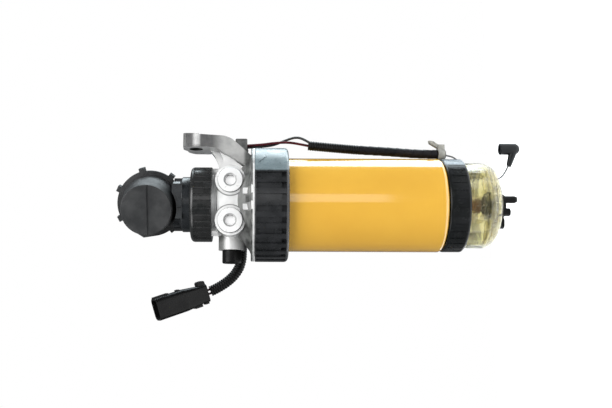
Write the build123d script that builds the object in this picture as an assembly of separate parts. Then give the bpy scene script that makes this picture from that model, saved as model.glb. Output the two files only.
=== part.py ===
"""Fuel feed pump on its filter head, with a water-separating filter hung below it.

The filter axis is Z and the pump is at the top. Everything is laid out about that axis, with height 0
at the lower face of the head's flange. +X is the side with the two plugged ports and +Y the side of the
mounting bracket. The files are written with the origin moved to the mouth of the bracket's bolt hole,
on its mounting face. All sizes are millimetres.
"""

import os
from math import cos, pi, radians, sin, tan

from build123d import *

# Clearances
RUNNING = 0.05  # a shaft in its bush
LOOSE = 0.3  # between pieces that turn or slide past each other
SEAT = 0.1  # between pieces that are screwed or pushed together

# Filter canister
canister_radius = 47.5
canister_wall = 1.0
canister_top = -17.0
canister_bottom = -188.5
canister_bead = 4.0
canister_bead_height = 3.0
canister_corner = 4.0

# Head casting
flange_radius = 57.6
flange_height = 3.6
skirt_radius = 52.0
skirt_bore = 44.0
skirt_depth = 14.0
dish_low = (46.5, 5.2)
dish_high = (37.5, 13.3)
neck_radius = 33.0
neck_top = 36.5
neck_groove = 29.5
collar_radius = 31.0
collar_bottom = 40.6
collar_top = 42.6
thread_radius = 29.6
thread_top = 56.5
spigot_bore = 24.0
spigot_seat = 44.2
nipple_radius = 11.0
nipple_end = -26.0
ear_reach = 36.6
ear_angles = (75.0, 187.0, 300.0)
gallery_radius = 9.0
roof_height = 2.0

# Ports on the +X side of the head
port_height = 23.8
port_spacing = 39.9
port_boss_radius = 14.9
port_face = 35.0
port_web = (10.0, 34.7)
port_thread = 9.8
port_depth = 17.0
port_recess = 1.6
plug_radius = 12.5
plug_height = 3.0
plug_shank = 12.0
plug_socket_flats = 9.2
plug_socket_depth = 6.5
plug_socket_mouth = 6.6  # radius of the bevel round the socket
washer_height = 0.8
rib_spacing = 15.6
rib_width = 5.8
rib_reach = 44.0
rib_height = 11.4

# Port under the head, with its transit cap
low_port_height = 22.7
low_port_radius = 13.4
low_port_reach = 46.5
low_port_thread = 8.0
low_port_depth = 20.0
cap_radius = 9.6
cap_reach = 13.4
cap_stem = 12.0

# Mounting bracket: its side is drawn as (height, Y) and its plan as (height, X)
mount_x = 7.5
mount_face = 70.1
mount_height = 59.7
mount_hole_radius = 6.75
mount_boss_radius = 13.0
arm_end = 72.7
arm_thickness = 14.0
arm_step = 0.8  # the machined face stands this far above the arm
arm_step_height = 56.0
arm_bend = (25.8, 67.4)
arm_foot = (2.6, 46.6)
arm_bend_radius = 24.0
arm_under_bend = (40.0, 55.6)
arm_under_foot = (2.6, 34.4)
arm_near = 20.0
arm_far = -11.0
pad_far = -18.7
pad_corner = (62.5, pad_far)  # the pad tapers from here to its end
pad_root = (48.0, pad_far)
web_near = (2.0, 9.0)  # X limits, then three points of the concave edge
web_near_edge = ((37.5, 55.0), (32.8, 47.0), (33.4, 30.0))
web_far = (-8.0, 2.0)
web_far_edge = ((46.5, 56.6), (39.9, 48.0), (35.5, 30.0))
dowel_hole = (55.0, -12.0)
dowel_hole_radius = 1.9

# Lock ring round the top of the canister
lock_radius = 58.0
lock_length = 33.8
lock_lip_top = -20.3
lock_groove_count = 32
lock_groove_depth = 1.5
lock_groove_width = 6.2
lock_groove_start = 1.5
lock_groove_end = 3.0
lock_notch_length = 4.6
lock_notch_depth = 3.4
lock_plain_angle = 74.0
lock_plain_middle = 64.0
lock_corner = 4.0
lock_mark_angle = 42.0
lock_mark_height = -7.8
lock_mark_size = (12.5, 1.0, 0.5)
lock_mark_slant = 52.0

# Water bowl and its ring
bowl_radius = 43.2
bowl_wall = 2.6
bowl_bottom = -244.5
bowl_dish = 1.5
bowl_shoulder = 14.0
bowl_boss_radius = 22.0
bowl_boss_height = 3.0
bowl_rim = 2.4
bowl_rib_count = 8
bowl_ring_wall = 1.7
bowl_ring_radius = bowl_radius + bowl_rim + bowl_ring_wall
bowl_ring_length = 21.0
bowl_ring_lip = 3.4
bowl_ring_groove_count = 36
bowl_ring_groove = (0.5, 1.1)  # depth, width
bowl_ring_plain_middle = 86.0
bowl_ring_plain_angle = 34.0
throat_radius = bowl_radius - 2.2
throat_depth = 9.0

# Standpipe inside the bowl
stand_radius = 13.0
stand_step = -222.0
stand_tip_radius = 8.0
stand_end = -229.5

# Filter element
media_radius = 40.0
media_core = 15.5
pleat_count = 36
media_top = -25.0
media_bottom = -174.0
end_cap_height = 2.5
core_wall = 1.4
core_hole_radius = 2.6
core_hole_rows = 8
core_hole_columns = 6

# Drain in the bottom of the bowl
drain_hub_radius = 12.4
drain_hub_height = 5.5
drain_spigot_radius = 10.4
drain_spigot_top = -233.4
drain_nut_flats = 26.0
drain_nut_height = 4.0
drain_wing_reach = 23.6
drain_wing_width = 9.0
nipple_offset = 6.5
hose_radius = 3.7
hose_bore = 1.8
hose_length = 14.5
drain_screw_offset = -6.5
drain_knob_radius = 4.2
drain_knob_height = 7.2
drain_stem_radius = 2.2
drain_stem_length = 9.0
drain_screw_bore = 3.1
drain_ring_wire = 0.44
probe_radius = 0.9
probe_top = -231.8

# Pump body and coupling nut
nut_radius = 38.0
nut_bottom = 42.9
nut_top = 64.0
nut_lip = 3.0
nut_corner = 4.0
nut_flute_count = 36
nut_flute_radius = 1.9
nut_flute_depth = 0.55
spigot_flange_radius = 28.8
spigot_flange_top = 60.6
spigot_groove_radius = 24.2
spigot_wall = 3.6
spigot_ring_wire = 1.1
spigot_ring_height = 50.5
shoulder_radius = 28.1
shoulder_top = 73.0
pump_neck_radius = 24.2
deck_top = 82.0
deck_block = (28.8, 17.4, 71.6)  # reach, half width, lower end
deck_tab_top = 76.4
pump_clock = -18.0  # the can's axis, in degrees round Z from +X

# Pump can, along its own axis, with the filter's axis at 0 and the front ahead of it
can_height = 106.6
can_radius = 28.0
can_rear = -26.0
can_flange = (-12.0, -8.0)
can_flange_radius = 32.8
can_nose = 8.0
can_nose_radius = 24.4
can_bore = 21.6
bulkhead_front = -20.0
bulkhead_boss = 3.0

# Pump front cover
cover_root_radius = 29.2
cover_face_radius = 25.1
cover_face = 33.0
cover_flange_front = -4.4
cover_flange_radius = 34.0
cover_bore = 24.6
cover_cavity = 22.9
cover_wall = 2.6
cover_lug_count = 7
cover_lug_start = 25.0
cover_lug_reach = 37.3
cover_lug_width = 6.0
cover_hook_depth = 1.6
cover_point = (282.1, 21.0)  # the flange's pointed corner, and half the angle it spans
cover_seam = 1.8  # height of the groove across the face, below the can's axis
cover_seam_width = 1.8
cover_seam_depth = 0.7

# Motor
motor_radius = 24.2
motor_rear = -58.0
motor_wall = 1.6
magnet_thickness = 3.8
magnet_span = (-45.0, -29.5)
armature_radius = 18.2
armature_span = (-43.0, -31.0)
armature_slots = 9
winding_span = (-45.6, -29.4)
winding_radii = (8.4, 15.6)
commutator_radius = 8.0
commutator_span = (-52.0, -46.0)
commutator_bars = 9
shaft_radius = 3.0
bush_radius = 6.0
bush_length = 4.0
brush_size = 4.0
brush_length = 7.0
socket_size = (16.0, 9.0)
socket_length = 9.0
socket_wall = 1.4
socket_offset = 13.0
terminal_places = (3.4, -3.4)
terminal_radius = 0.8
impeller_radius = 16.0
impeller_span = (11.6, 15.6)
impeller_blades = 24
impeller_blade_depth = 3.0
plate_radius = 22.7
plate_span = (8.0, 19.0)
plate_thickness = 3.2

# Check valve in the head's gallery
valve_seat = (26.0, 29.0)
valve_seat_bore = 5.0
valve_disc_radius = 6.6
valve_disc_height = 2.0
valve_stem_radius = 1.8
valve_stem_top = 43.6
valve_cage_bore = 7.5
valve_cage_roof = 41.0
spring_radius = 3.9
spring_wire = 0.5
spring_turns = 5.0

# Wiring
clip_size = (22.0, 12.0)
clip_inward, clip_outward = 13.0, 7.2  # from the loop's radius
clip_near = 8.0
clip_low = 7.6
lower_conduit_diameter = 11.0
upper_conduit_diameter = 9.6
wire_diameter = 2.6
lead_diameter = 2.4
lead_spacing = 4.2
sensor_wire_diameter = 1.6
tie_band = 1.2
tie_width = 7.0

# Connector on the lower lead, along its own axis from the back
plug_origin = (-38.7, -88.3, 50.4)
plug_axis = (0.42, -0.312, 0.852)
plug_side = (0.8953, -0.011, -0.4454)
plug_length = 58.0
plug_key_height = 1.3
plug_keys = ((29.5, 32.1), (42.0, plug_length))
shroud_start = 26.0
shroud_floor = 31.0
shroud_size = (17.0, 23.0)
shroud_wall = 2.0
shroud_corner = 5.0
back_size = (13.0, 19.0)
back_corner = 3.0
seal_size = (9.0, 14.0)
seal_depth = 6.0
pin_spacing = 7.6
pin_radius = 1.1
pin_reach = 49.0

# Boot on the sensor lead
boot_elbow = (-33.0, 66.1, -277.6)
boot_tail_end = (-34.0, 47.7, -271.9)
boot_mouth = -262.3
boot_radius = 6.1
boot_bore = 3.4
boot_bore_depth = 13.0
boot_tail_radii = (4.7, 2.5)
terminal_wall = 0.7
terminal_length = 9.0

# The leads' routes: X, Y and height of each point. The loop round the back of the head is worked out.
loop_radius = 60.0
loop_start = 101.5
loop_step = 20.0
loop_heights = (12.0, 13.5, 15.5, 16.5, 16.0, 14.5)
lower_route_tail = [
    (-48.0, -36.2, 12.8),
    (-44.5, -61.0, 13.8),
    (-41.5, -79.4, 30.1),
    (-40.8, -86.6, 46.0),
]
lead_route = [(-40.9, -85.3, 43.2), (-40.4, -87.6, 48.6), (-36.5, -89.9, 55.0)]
red_route = [
    (1.4, 61.2, 10.0),
    (2.7, 62.0, -7.0),
    (3.4, 63.9, -21.0),
    (3.9, 64.4, -35.0),
    (4.1, 62.4, -47.0),
    (3.8, 60.2, -58.0),
]
black_route = [
    (-1.9, 59.8, 10.0),
    (-1.1, 60.8, -8.0),
    (-0.4, 62.3, -20.0),
    (1.2, 66.8, -31.0),
    (4.2, 70.2, -43.0),
    (6.8, 66.2, -52.0),
    (7.0, 61.4, -59.0),
]
upper_route = [
    (4.4, 60.8, -55.0),
    (3.2, 58.6, -82.0),
    (0.8, 56.8, -112.0),
    (-1.2, 55.6, -143.0),
    (-3.7, 54.2, -171.0),
    (-5.5, 54.0, -197.0),
]
sensor_route = [
    (-5.1, 54.0, -191.0),
    (-6.9, 53.3, -203.5),
    (-14.5, 50.6, -211.5),
    (-23.0, 46.2, -220.0),
    (-31.0, 39.0, -231.0),
    (-34.4, 35.2, -246.0),
    (-36.0, 33.6, -258.0),
    (-35.6, 36.6, -266.5),
    (-33.9, 50.6, -272.6),
]


def turned(points, rounds=()):
    """Solid turned about Z from its (radius, height) corners; rounds holds (corner number, radius)."""
    sketch = make_face(Polyline(*points, close=True))
    for number, radius in rounds:
        corner = sketch.vertices().sort_by_distance(Vector(*points[number], 0))[0]
        sketch = fillet(corner, radius)
    return revolve(Plane.XZ * sketch, Axis.Z)


def ring(outer, inner, low, high):
    return turned([(inner, low), (outer, low), (outer, high), (inner, high)])


def rod(radius, low, high, x=0.0, y=0.0):
    """Upright cylinder between two heights."""
    return Pos(x, y, low) * Cylinder(radius, high - low, align=(Align.CENTER, Align.CENTER, Align.MIN))


def torus_ring(radius, wire, height):
    return Pos(0, 0, height) * Torus(radius, wire)


def rod_along_x(radius, start, end, y=0.0, z=0.0):
    shape = Cylinder(radius, end - start, align=(Align.CENTER, Align.CENTER, Align.MIN))
    return Pos(start, y, z) * Rot(0, 90, 0) * shape


def rod_along_y(radius, start, end, x=0.0, z=0.0):
    shape = Cylinder(radius, end - start, align=(Align.CENTER, Align.CENTER, Align.MIN))
    return Pos(x, start, z) * Rot(-90, 0, 0) * shape


def block(x, y, z):
    """Box between (low, high) limits on each axis."""
    size = (x[1] - x[0], y[1] - y[0], z[1] - z[0])
    return Pos(x[0], y[0], z[0]) * Box(*size, align=(Align.MIN, Align.MIN, Align.MIN))


def around(shape, count, start=0.0, sweep=360.0):
    """Copies of a shape turned about Z."""
    return [Rot(0, 0, start + sweep * i / count) * shape for i in range(count)]


# Head casting

port_places = (port_spacing / 2, -port_spacing / 2)


def drawn_from_side(sketch):
    """Turns a sketch of (height, Y) into the plane at X = 0."""
    return Plane(origin=(0, 0, 0), x_dir=(0, 0, 1), z_dir=(-1, 0, 0)) * sketch


def drawn_from_below(sketch):
    """Turns a sketch of (height, X) into the plane at Y = 0."""
    return Plane(origin=(0, 0, 0), x_dir=(0, 0, 1), z_dir=(0, 1, 0)) * sketch


def strap():
    """Curved arm from the flange up to the bracket's pad, from its side and its plan."""
    top = mount_face - arm_step
    under = mount_face - arm_thickness
    side = make_face(
        Polyline(
            (arm_end, mount_face),
            (arm_step_height, mount_face),
            (arm_step_height, top),
            arm_bend,
            arm_foot,
            arm_under_foot,
            arm_under_bend,
            (arm_step_height - 4.0, under),
            (arm_end, under),
            close=True,
        )
    )
    for point, radius in ((arm_bend, arm_bend_radius), (arm_under_bend, 16.0)):
        side = fillet(side.vertices().sort_by_distance(Vector(*point, 0))[0], radius)
    plan = make_face(
        Polyline(
            (0, arm_far),
            (0, arm_near),
            (arm_end, arm_near),
            (arm_end - 4.6, pad_far + 8.7),
            pad_corner,
            pad_root,
            (pad_root[0] - 10.0, arm_far),
            close=True,
        )
    )
    for point, radius in (((arm_end, arm_near), 3.0), (pad_corner, 8.0), (pad_root, 8.0)):
        plan = fillet(plan.vertices().sort_by_distance(Vector(*point, 0))[0], radius)
    plan += Pos(mount_height, mount_x) * Circle(mount_boss_radius)
    arm = extrude(drawn_from_side(side), 3 * arm_near, both=True)
    return arm & extrude(drawn_from_below(plan), mount_face + 10.0, both=True)


def web(span, edge):
    """Gusset between the arm and the neck."""
    high, middle, low = edge
    rest = Polyline(
        low,
        (dish_high[1] - 2.0, low[1]),
        (dish_high[1] - 2.0, dish_high[0]),
        (arm_under_bend[0] - 10.0, arm_under_bend[1] - 4.0),
        high,
    )
    outline = ThreePointArc(high, middle, low) + rest
    thickness = span[1] - span[0]
    return Pos(span[1], 0, 0) * extrude(drawn_from_side(make_face(outline)), thickness)


def head_casting():
    outline = [
        (0, -skirt_depth),
        (skirt_radius, -skirt_depth),
        (skirt_radius, 0),
        (flange_radius, 0),
        (flange_radius, flange_height),
        (dish_low[0] + 4.0, flange_height),
        dish_low,
        dish_high,
        (neck_radius, dish_high[1] + 4.0),
        (neck_radius, neck_top),
        (neck_groove, neck_top + 1.0),
        (neck_groove, collar_bottom),
        (collar_radius, collar_bottom),
        (collar_radius, collar_top),
        (thread_radius, collar_top),
        (thread_radius, thread_top),
        (0, thread_top),
    ]
    head = turned(outline, rounds=((4, 1.0), (6, 3.0), (7, 6.0)))
    # Anti-turn ears under the coupling nut
    ear = block((neck_groove - 1.0, ear_reach), (-4.0, 4.0), (neck_top, collar_top))
    head += [Rot(0, 0, angle) * ear for angle in ear_angles]
    for y in port_places:
        head += rod_along_x(port_boss_radius, 12.0, port_face, y, port_height)
    head += block((12.0, port_face - 1.2), (port_places[1], port_places[0]), port_web)
    for side in (1, -1):
        middle = side * rib_spacing / 2
        width = (middle - rib_width / 2, middle + rib_width / 2)
        head += block((neck_radius - 5.0, rib_reach), width, (flange_height, rib_height))
    head += rod_along_y(low_port_radius, -low_port_reach, -15.0, 0, low_port_height)
    head += strap()
    head += web(web_near, web_near_edge)
    head += web(web_far, web_far_edge)
    # Underside: the annular way to the outside of the element, and the outlet nipple
    head -= ring(skirt_bore, nipple_radius + 4.0, -skirt_depth - 1.0, roof_height)
    head -= ring(nipple_radius + 5.0, nipple_radius, -skirt_depth - 1.0, roof_height)
    head += rod(nipple_radius, nipple_end, roof_height + 1.0)
    # Galleries
    head -= rod(spigot_bore, spigot_seat, thread_top + 1.0)
    head -= rod(gallery_radius, nipple_end - 1.0, spigot_seat + 1.0)
    for y in port_places:
        head -= rod_along_x(port_thread, port_face - port_depth, port_face + 1.0, y, port_height)
        head -= rod_along_x(
            plug_radius + SEAT, port_face - port_recess, port_face + 1.0, y, port_height
        )
    head -= rod_along_y(
        low_port_thread, -low_port_reach - 1.0, -low_port_reach + low_port_depth, 0, low_port_height
    )
    low = mount_face - arm_thickness - 1.0
    head -= rod_along_y(mount_hole_radius, low, mount_face + 1.0, mount_x, mount_height)
    height, x = dowel_hole
    return head - rod_along_y(dowel_hole_radius, low, low + 9.0, x, height)


def port_plug(y):
    seat = port_face - port_recess + washer_height
    plug = rod_along_x(plug_radius - SEAT, seat, seat + plug_height, y, port_height)
    plug = chamfer(plug.edges().sort_by(Axis.X)[-1], 0.6)
    plug += rod_along_x(port_thread - SEAT, seat - plug_shank, seat, y, port_height)
    hexagon = RegularPolygon(plug_socket_flats / 2, 6, major_radius=False)
    top = Plane(origin=(seat + plug_height, y, port_height), x_dir=(0, 0, 1), z_dir=(1, 0, 0))
    plug -= extrude(top * hexagon, -plug_socket_depth)
    small = plug_socket_flats / 2
    depth = plug_socket_mouth - small
    bevel = Cone(small, plug_socket_mouth, depth, align=(Align.CENTER, Align.CENTER, Align.MAX))
    return plug - top * bevel


def port_plugs():
    """Hexagon-socket plugs in the +X ports."""
    return Compound(children=[port_plug(y) for y in port_places])


def port_washers():
    seat = port_face - port_recess
    washers = []
    for y in port_places:
        disc = rod_along_x(plug_radius - SEAT, seat, seat + washer_height, y, port_height)
        hole = rod_along_x(port_thread + SEAT, seat - 1.0, seat + washer_height + 1.0, y, port_height)
        washers.append(disc - hole)
    return Compound(children=washers)


def port_cap():
    """Moulded transit cap pushed into the port under the head."""
    end = -low_port_reach
    cap = rod_along_y(cap_radius, end - cap_reach, end, 0, low_port_height)
    cap = fillet(cap.edges().sort_by(Axis.Y)[0], 1.4)
    cap += rod_along_y(low_port_thread - SEAT, end, end + cap_stem, 0, low_port_height)
    return cap - rod_along_y(low_port_thread - 2.0, end - 3.0, end + cap_stem + 1.0, 0, low_port_height)


def harness_clip():
    """Clip on the strap's slope, where the lead from below breaks out into two wires."""
    low, high = clip_low, clip_low + clip_size[1]
    near, far = clip_near, clip_near - clip_size[0]
    body = block((far, near), (loop_radius - clip_inward, loop_radius + clip_outward), (low, high))
    body = fillet(body.edges().filter_by(Axis.X).sort_by(Axis.Y)[-2:], 1.2)
    # The conduit and both wires run a little way into it
    return body - strap() - lower_conduit_line() - red_wire() - black_wire()


# Filter canister

def canister():
    radius, wall = canister_radius, canister_wall
    top, bottom = canister_top, canister_bottom
    ledge = radius - throat_radius
    outer_corner = min(canister_corner, 0.9 * ledge)
    inner_corner = min(canister_corner - wall, 0.9 * (ledge - wall))
    outer = [
        (throat_radius, bottom),
        (radius, bottom),
        (radius, top - canister_bead_height),
        (radius + canister_bead, top - canister_bead_height),
        (radius + canister_bead, top),
        (radius - wall, top),
        (radius - wall, bottom + wall),
        (throat_radius, bottom + wall),
    ]
    return turned(outer, rounds=((1, outer_corner), (6, inner_corner)))


def canister_seal():
    """Square-cut ring between the canister's bead and the head's skirt."""
    low, high = canister_top, -skirt_depth - LOOSE
    inner = skirt_bore + 1.4
    outer = canister_radius + canister_bead - 0.9
    return turned([(inner, low), (outer, low), (outer, high), (inner, high)], rounds=((2, 1.0), (3, 1.0)))


def media():
    """Pleated paper, one folded sheet closed on itself."""
    step = 360.0 / pleat_count
    wall = 0.9
    outer, inner = [], []
    for i in range(pleat_count):
        for turn, far in ((0.0, True), (0.5, False)):
            angle = radians((i + turn) * step)
            reach = media_radius if far else media_core + 2.4
            outer.append((reach * cos(angle), reach * sin(angle)))
            reach = media_radius - 3.2 * wall if far else media_core + 0.4
            inner.append((reach * cos(angle), reach * sin(angle)))
    sheet = make_face(Polyline(*outer, close=True)) - make_face(Polyline(*inner, close=True))
    return Pos(0, 0, media_bottom) * extrude(sheet, media_top - media_bottom)


def media_core_tube():
    """Perforated tube inside the pleats."""
    tube = ring(media_core, media_core - core_wall, media_bottom, media_top)
    pitch = (media_top - media_bottom) / (core_hole_rows + 1)
    for row in range(core_hole_rows):
        height = media_bottom + pitch * (row + 1)
        hole = rod_along_x(core_hole_radius, 0.0, media_core + 1.0, 0, height)
        tube -= around(hole, core_hole_columns, 30.0 * (row % 2))
    return tube


def element_cap(low, bore):
    """Dished end cap bonded to the pleats."""
    high = low + end_cap_height
    return turned([(bore, low), (media_radius + 1.5, low), (media_radius + 1.5, high), (bore, high)])


def top_cap():
    return element_cap(media_top, nipple_radius + LOOSE)


def bottom_cap():
    return element_cap(media_bottom - end_cap_height, 4.0)


def throat():
    """Threaded neck of the canister's base plate, with the standpipe that hangs in the bowl."""
    low = canister_bottom - throat_depth
    floor = canister_bottom + canister_wall
    top = media_bottom - end_cap_height
    body = turned(
        [
            (throat_radius - 4.0, low),
            (throat_radius, low),
            (throat_radius, floor + 2.0),
            (stand_radius, floor + 2.0),
            (stand_radius, top),
            (stand_radius - 2.5, top),
            (stand_radius - 2.5, floor - 1.0),
            (throat_radius - 4.0, floor - 1.0),
        ]
    )
    ways = rod(4.0, floor - 2.0, floor + 3.0, x=(throat_radius + stand_radius) / 2 - 1.0)
    return body - around(ways, 8)


def standpipe():
    top = canister_bottom
    radius, small = stand_radius - 2.5 - SEAT, stand_tip_radius
    return turned(
        [
            (small - 3.0, stand_end),
            (small, stand_end),
            (small, stand_step),
            (stand_radius, stand_step + 3.0),
            (stand_radius, top),
            (radius, top),
            (radius, top + 7.0),
            (small - 3.0, top + 7.0),
        ],
        rounds=((1, 1.5),),
    )


# Lock ring

def grooves(radius, depth, width, low, high, count, plain_middle=0.0, plain_angle=0.0):
    """Shallow grip grooves round a ring, with none on its plain pad."""
    cut = block((radius - depth, radius + 5.0), (-width / 2, width / 2), (low, high))
    step = 360.0 / count
    made = []
    for i in range(count):
        angle = i * step
        away = abs((angle - plain_middle + 180.0) % 360.0 - 180.0)
        if away > plain_angle / 2:
            made.append(Rot(0, 0, angle) * cut)
    return made


def lock_ring():
    low, high = -lock_length, -LOOSE
    inner, room = canister_radius + 0.6, skirt_radius + LOOSE
    ring_solid = turned(
        [
            (inner, low),
            (lock_radius, low),
            (lock_radius, high),
            (room, high),
            (room, lock_lip_top),
            (inner, lock_lip_top),
        ],
        rounds=((1, lock_corner), (2, 1.2)),
    )
    shared = (lock_groove_count, lock_plain_middle, lock_plain_angle)
    start, end = high - lock_groove_start, low + lock_groove_end
    width = lock_groove_width
    ring_solid -= grooves(lock_radius, lock_groove_depth, width, end, start, *shared)
    ring_solid -= grooves(lock_radius, lock_notch_depth, width, end, end + lock_notch_length, *shared)
    # Slanting index line on the plain pad
    length, line, depth = lock_mark_size
    mark = Pos(lock_radius, 0, lock_mark_height) * Rot(lock_mark_slant, 0, 0) * Box(2 * depth, line, length)
    return ring_solid - Rot(0, 0, lock_mark_angle) * mark


# Water bowl

ring_top = canister_bottom - LOOSE
ring_bottom = ring_top - bowl_ring_length
bowl_top = canister_bottom - throat_depth - LOOSE
drain_face = bowl_bottom - bowl_boss_height
drain_low = drain_face - drain_hub_height
drain_nut_seat = bowl_bottom + bowl_wall + 2.2


def bowl():
    """Clear moulded bowl with a shallow dished floor, ribbed inside."""
    wall = bowl_wall
    rim = bowl_radius + bowl_rim - LOOSE
    rim_low = ring_bottom + bowl_ring_lip + LOOSE
    outer = [
        (0, bowl_bottom),
        (bowl_radius, bowl_bottom + bowl_dish),
        (bowl_radius, rim_low),
        (rim, rim_low),
        (rim, bowl_top),
        (0, bowl_top),
    ]
    inner = [
        (0, bowl_bottom + wall),
        (bowl_radius - wall, bowl_bottom + bowl_dish + wall),
        (bowl_radius - wall, bowl_top + 1.0),
        (0, bowl_top + 1.0),
    ]
    body = turned(outer, rounds=((1, bowl_shoulder),))
    shell = body + rod(bowl_boss_radius, drain_face, bowl_bottom + 1.5)
    shell -= turned(inner, rounds=((1, bowl_shoulder - wall),))
    floor = bowl_bottom + wall
    rib = block((drain_nut_flats / 2 + 3.0, bowl_radius - 6.0), (-0.8, 0.8), (floor - 1.5, floor + 6.0))
    shell += [rib & body for rib in around(rib, bowl_rib_count, 22.5)]
    shell += rod(drain_nut_flats / 2 + 3.0, bowl_bottom + 1.0, drain_nut_seat)
    return shell - rod(drain_spigot_radius + SEAT, drain_face - 1.0, drain_nut_seat + 1.0)


def bowl_seal():
    """Ring on the bowl's rim, round the threaded throat."""
    wire = 1.25
    return torus_ring(throat_radius + wire, wire, bowl_top + wire)


def bowl_ring():
    low, high = ring_bottom, ring_top
    shape = turned(
        [
            (bowl_radius + LOOSE, low),
            (bowl_ring_radius, low),
            (bowl_ring_radius, high),
            (throat_radius + LOOSE, high),
            (throat_radius + LOOSE, high - 5.0),
            (bowl_radius + bowl_rim, high - 5.6),
            (bowl_radius + bowl_rim, low + bowl_ring_lip),
            (bowl_radius + LOOSE, low + bowl_ring_lip),
        ],
        rounds=((1, 2.6), (2, 2.2)),
    )
    depth, width = bowl_ring_groove
    plain = (bowl_ring_plain_middle, bowl_ring_plain_angle)
    cuts = grooves(bowl_ring_radius, depth, width, low + 3.2, high - 2.6, bowl_ring_groove_count, *plain)
    return shape - cuts


# Drain


def drain_screw_ring_height():
    return drain_low + 4.0


def drain_body():
    """Flat foot under the bowl, with the hose nipple and the drain screw's bore."""
    foot = rod(drain_hub_radius, drain_low, drain_face) & block(
        (-drain_hub_radius, drain_hub_radius), (-drain_hub_radius, 10.2), (drain_low, drain_face)
    )
    tip = make_face(
        Polyline(
            (-drain_wing_width / 2 - 2.0, -6.0),
            (drain_wing_width / 2 + 2.0, -6.0),
            (drain_wing_width / 2, -drain_wing_reach + 2.0),
            (0, -drain_wing_reach),
            (-drain_wing_width / 2, -drain_wing_reach + 2.0),
            close=True,
        )
    )
    # The lever's outer end rises to follow the dished bowl
    lever = Pos(0, 0, drain_low) * extrude(tip, drain_hub_height + 4.0)
    slope = Plane(origin=(0, -15.0, drain_low), z_dir=(0, 0.45, -1.0))
    lever = split(lever, slope, keep=Keep.BOTTOM)
    under = block((-20.0, 20.0), (-30.0, 0.0), (drain_face, drain_face + 10.0))
    foot += lever - under
    foot += rod(drain_spigot_radius, drain_face - 1.0, drain_spigot_top)
    nipple = turned(
        [
            (0, drain_low - hose_length),
            (hose_radius - 0.9, drain_low - hose_length),
            (hose_radius, drain_low - hose_length + 2.2),
            (hose_radius, drain_low + 0.5),
            (0, drain_low + 0.5),
        ]
    )
    foot += Pos(0, nipple_offset, 0) * nipple
    foot -= rod(hose_bore, drain_low - hose_length - 1.0, drain_spigot_top + 1.0, y=nipple_offset)
    stem_top = drain_low + drain_stem_length
    foot -= rod(drain_screw_bore, drain_low - 1.0, stem_top + 0.4, y=drain_screw_offset)
    # The passage the screw's tip closes
    foot -= rod(1.2, stem_top, drain_spigot_top + 1.0, y=drain_screw_offset)
    for x in (4.5, -4.5):
        foot -= rod(probe_radius, drain_face, drain_spigot_top + 1.0, x=x)
    return foot


def drain_nut():
    """Nut inside the bowl that holds the drain's foot."""
    hexagon = RegularPolygon(drain_nut_flats / 2, 6, major_radius=False)
    nut = Pos(0, 0, drain_nut_seat) * extrude(hexagon, drain_nut_height)
    return nut - rod(drain_spigot_radius, drain_nut_seat - 1.0, drain_nut_seat + drain_nut_height + 1.0)


def drain_screw():
    """Six-sided knob on a stem."""
    hexagon = RegularPolygon(drain_knob_radius, 6, rotation=12)
    top = drain_low - SEAT
    knob = Pos(0, 0, top - drain_knob_height) * extrude(hexagon, drain_knob_height)
    knob = chamfer(knob.edges().group_by(Axis.Z)[0], 0.5)
    stem = turned(
        [
            (0, top - 0.5),
            (drain_stem_radius, top - 0.5),
            (drain_stem_radius, drain_screw_ring_height() - 0.6),
            (drain_stem_radius - 0.4, drain_screw_ring_height() - 0.6),
            (drain_stem_radius - 0.4, drain_screw_ring_height() + 0.6),
            (drain_stem_radius, drain_screw_ring_height() + 0.6),
            (drain_stem_radius, drain_low + drain_stem_length - 1.2),
            (drain_stem_radius - 1.2, drain_low + drain_stem_length),
            (0, drain_low + drain_stem_length),
        ]
    )
    return Pos(0, drain_screw_offset, 0) * (knob + stem)


def drain_seal():
    """Small ring in the screw's groove."""
    reach = drain_screw_bore - RUNNING - drain_ring_wire
    return Pos(0, drain_screw_offset, 0) * torus_ring(reach, drain_ring_wire, drain_screw_ring_height())


def sensor_probes():
    """Two metal pins that sense water over the drain."""
    pins = [rod(probe_radius, drain_face + 1.0, probe_top, x=x) for x in (4.5, -4.5)]
    return Compound(children=pins)


# Coupling nut, pump body and cover


def pump_nut():
    low, high = nut_bottom, nut_top
    inside = high - nut_lip
    shape = turned(
        [
            (thread_radius + SEAT, low),
            (nut_radius, low),
            (nut_radius, high),
            (spigot_groove_radius + LOOSE, high),
            (spigot_groove_radius + LOOSE, inside),
            (thread_radius + SEAT, inside),
        ],
        rounds=((1, 0.8), (2, nut_corner)),
    )
    flute = rod(
        nut_flute_radius, low - 1.0, high - nut_corner, x=nut_radius + nut_flute_radius - nut_flute_depth
    )
    return shape - around(flute, nut_flute_count, 7.5)


def on_can(shape):
    """Moves a shape turned about Z so that it lies along the can, heights becoming stations."""
    return Pos(0, 0, can_height) * Rot(0, 0, pump_clock) * Rot(0, 90, 0) * shape


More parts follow.
